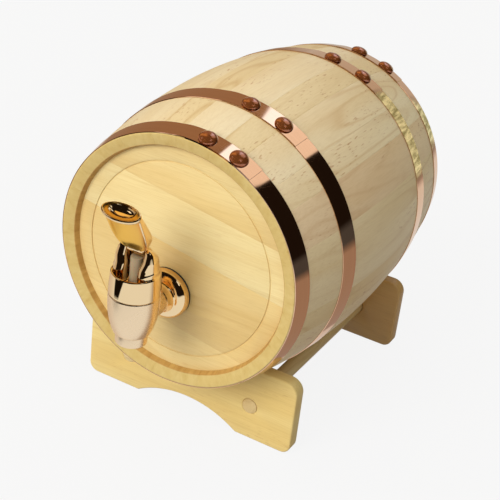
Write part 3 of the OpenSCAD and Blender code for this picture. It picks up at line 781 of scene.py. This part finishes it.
flange_r, rim_t, flange_len, neck_r, shoulder = 14.8, 1.4, 11.5, 7.85, 5.2
waist = flange_r - shoulder - neck_r - 0.4
flange_outline = [(neck_r, 0.0), (flange_r, 0.0)]
flange_outline += [
    (flange_r - shoulder * (1 - math.cos(a)), rim_t + shoulder * math.sin(a))
    for a in np.linspace(0, math.pi / 2, 17)]
flange_outline += [
    (flange_r - shoulder - waist * math.sin(a),
     flange_len - (flange_len - rim_t - shoulder) * math.cos(a))
    for a in np.linspace(0, math.pi / 2, 15)[1:]]
flange_outline.append((neck_r, flange_len))
bm = bmesh.new()
flange_at = (
    AT_TAP @ Matrix.Translation((0, TAP_PROJ - 1.2, 0)) @ Matrix.Rotation(math.pi / 2, 4, "X"))
flange_radii = [0, 0.4] + [0] * (len(flange_outline) - 2)
turned(bm, rounded(flange_outline, flange_radii, 4), flange_at, 128)
finish_piece("bell_flange", bm, "tap_flange", "cask", plating)

# ---- Lever ----

PAD_Y, PAD_Z, PAD_W, PAD_D, PAD_LEAN = -17.996, 69.9, 11.8, 5.8, 27.0
# The round hub on the pin, the neck's half width and lean, and its direction up from the pin.
HUB_R, NECK_W, NECK_LEAN, NECK_UP_Y, NECK_UP_Z = 4.2, 5.1, 28.5, -0.477, 0.879
ACROSS = 48  # steps across half of the lever's round


def lever_ring(y, z, lean, half_w, front, rear, square):
    """One closed section of the lever, wider than it is deep."""
    points = []
    for i in range(2 * ACROSS):
        a = math.pi * i / ACROSS
        c, s = math.cos(a), math.sin(a)
        power = square[0] if i > ACROSS else square[1]
        depth = (-front if i > ACROSS else rear) * abs(s) ** power
        points.append((half_w * math.copysign(abs(c) ** power, c), depth))
    return tilted(points, y, z, lean)


def tilted(points, y, z, lean):
    tilt = math.radians(lean)
    return [(x, y + d * math.cos(tilt), z + d * math.sin(tilt)) for x, d in points]


def shell_ring(t):
    """A section of the shell between its lower lip, t 0, and the pad, t 1. Its front is open."""
    y, z = -0.2 - 16.3 * t, 46.4 + 21.3 * t
    half_w = NECK_W + 6.2 * (1.06 * t / (0.06 + t)) ** 1.25 + 0.25 * math.sin(math.pi * t)
    rim = 4.2 * (1 - t) ** 0.9 + 0.9
    rear = 3.6 + 1.5 * t
    power = 0.55 + 0.4 * t
    quick = math.sin(min(1.0, t / 0.05) * math.pi / 2)
    slow = math.sin(min(1.0, t / 0.75) * math.pi / 2)
    drop = 0.2 * quick + 0.8 * slow
    deep = -rim + (rim + 0.7 * rear) * drop
    wide = half_w - 1.5
    points = []
    for i in range(ACROSS + 1):
        a = math.pi * i / ACROSS
        c, s = math.cos(a), math.sin(a)
        points.append((half_w * math.copysign(abs(c) ** power, c), rear * s**power))
    bead = [(0.0, -rim * 0.35), (0.06, -rim * 0.75), (0.28, -rim), (0.72, -rim - 0.18),
            (1.15, -rim + 0.05)]
    left = [(-half_w + x, d) for x, d in bead]
    count = ACROSS - 1 - 2 * len(bead)
    middle = []
    for i in range(count):
        x = -math.cos(math.pi * (i + 0.5) / count)
        bowl = max(0.0, 1 - abs(x) ** 2.6) ** 0.7
        middle.append((wide * x, -rim + 0.35 + (deep + rim - 0.35) * bowl))
    right = [(-x, d) for x, d in reversed(left)]
    return tilted(points + left + middle + right, y, z, 44 - 17 * t)


def lever_rings():
    rings = []

    def neck_ring(along, half, square):
        rings.append(lever_ring(
            PIN_Y + NECK_UP_Y * along, PIN_Z + NECK_UP_Z * along, NECK_LEAN, NECK_W, half, half,
            (square, square)))

    for angle in (10, 22, 36, 52, 70, 90):
        a = math.radians(angle)
        neck_ring(-HUB_R * math.cos(a), HUB_R * math.sin(a), 0.2)
    for along, half in ((2.2, 3.85), (4.4, 3.2), (6.4, 2.7)):
        neck_ring(along, half, 0.22)
    for y, z, lean, front, rear in (
            (1.7, 42.0, 36, 3.2, 2.5), (1.0, 43.4, 40, 4.6, 2.9), (0.5, 44.6, 43, 5.3, 3.2)):
        rings.append(lever_ring(y, z, lean, NECK_W, front, rear, (0.3, 0.45)))
    rings.append(lever_ring(0.1, 45.6, 44, 5.12, 5.2, 3.4, (0.3, 0.5)))
    for t in (0.0, 0.015, 0.04, 0.07, 0.11, 0.16, 0.22, 0.29, 0.37, 0.45, 0.54, 0.63, 0.72, 0.8,
              0.87, 0.93, 0.97, 1.0):
        rings.append(shell_ring(t))
    lean = math.radians(PAD_LEAN)
    up_y, up_z = -math.sin(lean), math.cos(lean)
    for high, grow in ((-1.85, -0.5), (-1.6, -0.15), (-1.15, 0.0), (-0.6, 0.0), (-0.15, -0.12),
                       (0.12, -0.35), (0.26, -0.7)):
        rings.append(lever_ring(
            PAD_Y + up_y * high, PAD_Z + up_z * high, PAD_LEAN, PAD_W + grow, PAD_D + grow,
            PAD_D + grow, (1.0, 1.0)))
    for share, high, shift in (
            (0.90, 0.26, 0.0), (0.875, 0.12, 0.0), (0.85, -0.05, 0.1), (0.79, -0.2, 0.45),
            (0.72, -0.3, 0.85), (0.665, -0.42, 1.15), (0.63, -0.75, 1.25), (0.58, -1.25, 1.2),
            (0.50, -1.75, 1.1), (0.38, -2.1, 1.0), (0.24, -2.25, 1.0), (0.11, -2.3, 1.0)):
        rings.append(lever_ring(
            PAD_Y + up_y * high + up_z * shift, PAD_Z + up_z * high - up_y * shift, PAD_LEAN,
            PAD_W * share, PAD_D * (share - 0.02), PAD_D * (share - 0.02), (1.0, 1.0)))
    return rings


bm = bmesh.new()
rings = [[bm.verts.new(p) for p in placed(ring, AT_TAP)] for ring in lever_rings()]
capped_grid(bm, rings)
bm.faces.ensure_lookup_table()
# Bands of faces between rings, with the part of their round that is more softly polished and
# coloured a deep orange gold. The gold is a painted reflection of the gold hollow mirrored in
# itself.
HOLLOW_BANDS, HOLLOW_ROUND = range(13, 30), range(ACROSS + 4, 2 * ACROSS - 5)
DISH_BANDS, DISH_ROUND = range(39, 43), range(2 * ACROSS)
for bands, round_part in ((HOLLOW_BANDS, HOLLOW_ROUND), (DISH_BANDS, DISH_ROUND)):
    for i in bands:
        for j in round_part:
            bm.faces[i * 2 * ACROSS + j].material_index = 1
lever = finish_piece("push_lever", bm, "lever", "lever", plating, 60.0)
lever.data.materials.append(bowl_painted_gold)

# ---- Small and inner parts ----

for node, material in (
        ("lever_pin", steel), ("stem_ring", rubber),
        ("valve_seal", silicone), ("inner_gasket", rubber), ("flange_gasket", rubber)):
    coat(node, material)
# The spring rides on the stem.
bm = bmesh.new()
bm.from_mesh(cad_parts["valve_spring"].data)
spring = finish_piece("coil_spring", bm, "valve_spring", "plunger", steel, recalc=False)
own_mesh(spring)
eased("hex_nut", "shank_nut", "cask", steel, 0.5, 2)
eased("milky_stem", "valve_stem", "plunger", milky, 0.25, 2)
eased("turned_bung", "fill_bung", "bung",
      wood("bung_oak", srgb("B98D57"), srgb("8C6237"), 44.0, "Y", 0.5, 0.3, 0.5), 0.4, 2, 25.0)

# ---- Stage, light and camera ----

bpy.context.scene.view_settings.view_transform = "Standard"
WHITE = srgb("F8F8F8")

floor_mesh = bpy.data.meshes.new("floor")
FLOOR = 30.0  # metres from the middle to each edge
floor_mesh.from_pydata(
    [(-FLOOR, -FLOOR, 0), (FLOOR, -FLOOR, 0), (FLOOR, FLOOR, 0), (-FLOOR, FLOOR, 0)], [],
    [(0, 1, 2, 3)])
floor = bpy.data.objects.new("floor", floor_mesh)
bpy.context.scene.collection.objects.link(floor)
floor.visible_glossy = False
paper = bpy.data.materials.new("floor_paper")
g = Graph(paper)
path = g.add("ShaderNodeLightPath")
diffuse = g.add("ShaderNodeBsdfDiffuse")
diffuse.inputs[0].default_value = (0.40, 0.39, 0.37, 1)
glow = g.add("ShaderNodeEmission")
glow.inputs[0].default_value = (*WHITE, 1)
glow.inputs[1].default_value = 1.07
both = g.add("ShaderNodeMixShader")
g.link(g.math("MULTIPLY", path.outputs["Is Camera Ray"], 0.88), both.inputs[0])
g.link(diffuse.outputs[0], both.inputs[1])
g.link(glow.outputs[0], both.inputs[2])
g.output(both)
floor_mesh.materials.append(paper)

world = bpy.data.worlds.new("studio")
bpy.context.scene.world = world
g = Graph(world)
coord = g.add("ShaderNodeTexCoord")
split = g.add("ShaderNodeSeparateXYZ")
g.link(coord.outputs["Generated"], split.inputs[0])
azimuth = g.math("DEGREES", g.math(
    "ARCTAN2", split.outputs[0], g.math("MULTIPLY", split.outputs[1], -1.0)))
elevation = g.math("DEGREES", g.math("ARCSINE", split.outputs[2]))


def turn_from(mid):
    """Degrees of azimuth away from mid, between -180 and 180."""
    off = g.math("ADD", g.math("SUBTRACT", azimuth, mid), 540.0)
    return g.math("SUBTRACT", g.math("MODULO", off, 360.0), 180.0)


def within(value, low, high, edge):
    """1 between low and high and 0 outside, over a soft edge."""
    mid, half = (low + high) / 2, (high - low) / 2
    far = g.math("ABSOLUTE", g.math("SUBTRACT", value, mid))
    return g.math("MULTIPLY_ADD", g.math("SUBTRACT", half, far), 1 / edge, 0.5, clamp=True)


def window(a0, a1, e0, e1, edge_a=4.0, edge_e=4.0):
    """A soft-edged window of directions: azimuth from the front, to the right, and elevation."""
    mid = (a0 + a1) / 2
    return g.math(
        "MULTIPLY", within(turn_from(mid), a0 - mid, a1 - mid, edge_a),
        within(elevation, e0, e1, edge_e))


# What polished metal sees: a pale table below the horizon, and above it a dark room with a
# lit panel behind the cask, a warm wall and a gold lamp behind on the left, leaves outside a
# window, a beige wall at the left and three small lamps.
around = turn_from(0.0)
horizon = g.math("ADD", g.ease(around, 5, 75, -16, -1), g.ease(around, 85, 120, 0, -11))
table = g.math("MULTIPLY_ADD", g.math("SUBTRACT", horizon, elevation), 1 / 5, 0.5, clamp=True)
table_colour = g.mix(g.ease(around, 95, 125, 0, 1), (0.84, 0.92, 1.10), (0.36, 0.28, 0.24))
table_colour = g.mix(g.ease(around, -125, -45, 1, 0), table_colour, (0.66, 0.58, 0.52))
DARK_ROOM, LAMP = (0.012, 0.008, 0.006), (1.3, 1.35, 1.5)
sky = g.mix(window(187, 232, -40, 62, 2, 8), DARK_ROOM, (0.34, 0.22, 0.14))
sky = g.mix(window(238, 264, 22, 70, 4, 6), sky, (0.85, 0.56, 0.18))
sky = g.mix(window(222, 264, 50, 76, 4, 3), sky, (1.0, 0.66, 0.22))
sky = g.mix(window(-110, -38, -20, 10, 4, 5), sky, (0.60, 0.53, 0.50))
sky = g.mix(window(112, 140, -12, -1, 6, 4), sky, (0.07, 0.075, 0.085))
leaves = g.noise(coord.outputs["Generated"], 55.0, 2)
leaves = g.mix(g.ease(leaves, 0.42, 0.6, 0, 1), (0.25, 0.30, 0.16), (0.95, 1.15, 0.85))
sky = g.mix(window(157, 177, -13, 17, 2, 3), sky, leaves)
sky = g.mix(window(177, 207, -16, 20, 3, 5), sky, (0.55, 0.50, 0.44))
slant = g.math("MAXIMUM", g.math("SUBTRACT", 48.0, elevation), 0.0)
off = g.math("MULTIPLY_ADD", slant, -1.09, turn_from(137.0))
panel = g.math("MULTIPLY", within(off, 0, 50, 1.5), within(elevation, 35, 64, 1.5))
panel_tone = g.mix(
    g.ease(turn_from(162.0), 4, 14, 0, 1), (0.98, 0.95, 0.98), (1.4, 1.7, 2.3))
sky = g.mix(panel, sky, panel_tone)
for lamp in ((62, 74, 38, 58), (82, 89, 44, 66), (-70, -52, 34, 46)):
    sky = g.mix(window(*lamp, 2, 2), sky, LAMP)
seen_below = g.mix(window(158, 205, -34, -15, 4, 3), table_colour, (0.75, 0.72, 0.68))
taper = g.math("MULTIPLY_ADD", g.math("MINIMUM", g.math("ADD", elevation, 17.0), 0.0), 2.0, 51.0)
past = g.math("SUBTRACT", taper, turn_from(-64.0))
black = g.math(
    "MULTIPLY", g.math("MULTIPLY_ADD", past, 1 / 3, 0.5, clamp=True),
    window(-64, 0, -30, 0, 4, 2))
seen_below = g.mix(black, seen_below, (0.008, 0.006, 0.005))
sky = g.mix(table, sky, seen_below)

# The light on everything else comes mostly from above, from the front left.
toward = g.add("ShaderNodeVectorMath", operation="DOT_PRODUCT")
g.link(coord.outputs["Generated"], toward.inputs[0])
toward.inputs[1].default_value = (-0.22, -0.44, 0.87)
level = g.ease(toward.outputs["Value"], -0.35, 1.0, 0.03, 1.08)
path = g.add("ShaderNodeLightPath")
light = g.mix(path.outputs["Is Glossy Ray"], level, sky)
seen = g.mix(path.outputs["Is Camera Ray"], light, WHITE)
background = g.add("ShaderNodeBackground")
g.link(seen, background.inputs[0])
g.output(background, "ShaderNodeOutputWorld")


def sun(name, direction, strength, angle):
    light = bpy.data.lights.new(name, "SUN")
    light.energy = strength
    light.angle = math.radians(angle)
    lamp = bpy.data.objects.new(name, light)
    lamp.rotation_mode = "QUATERNION"
    lamp.rotation_quaternion = Vector(direction).to_track_quat("-Z", "Y")
    lamp.visible_glossy = False
    bpy.context.scene.collection.objects.link(lamp)


sun("key_light", (0.26, 0.84, -0.48), 1.75, 34)

# The camera fitted to the photograph, in units of the chime's radius from the front chime's middle.
UNIT = END_R
C = Vector((3.9883, -6.7615, 4.4427))
T = Vector((-0.0776, 1.31025, -0.2746))
TILT, FOCAL, PX, PY, PICTURE = -0.1187, 1234.98, 248.85, 230.19, 500
forward = (T - C).normalized()
side = forward.cross(Vector((0, 0, 1))).normalized()
down = forward.cross(side)
right = math.cos(TILT) * side + math.sin(TILT) * down
lower = -math.sin(TILT) * side + math.cos(TILT) * down
camera_data = bpy.data.cameras.new("camera")
camera = bpy.data.objects.new("camera", camera_data)
bpy.context.scene.collection.objects.link(camera)
turn = Matrix((right, -lower, -forward)).transposed()
eye = (C * UNIT + Vector((0, FACE_Y, AXIS_H))) * MM
camera.matrix_world = Matrix.Translation(eye) @ turn.to_4x4()
camera_data.sensor_width = 36
camera_data.lens = FOCAL / PICTURE * 36
camera_data.shift_x = (PICTURE / 2 - PX) / PICTURE
camera_data.shift_y = (PY - PICTURE / 2) / PICTURE
camera_data.clip_start, camera_data.clip_end = 0.01, 100
bpy.context.scene.camera = camera
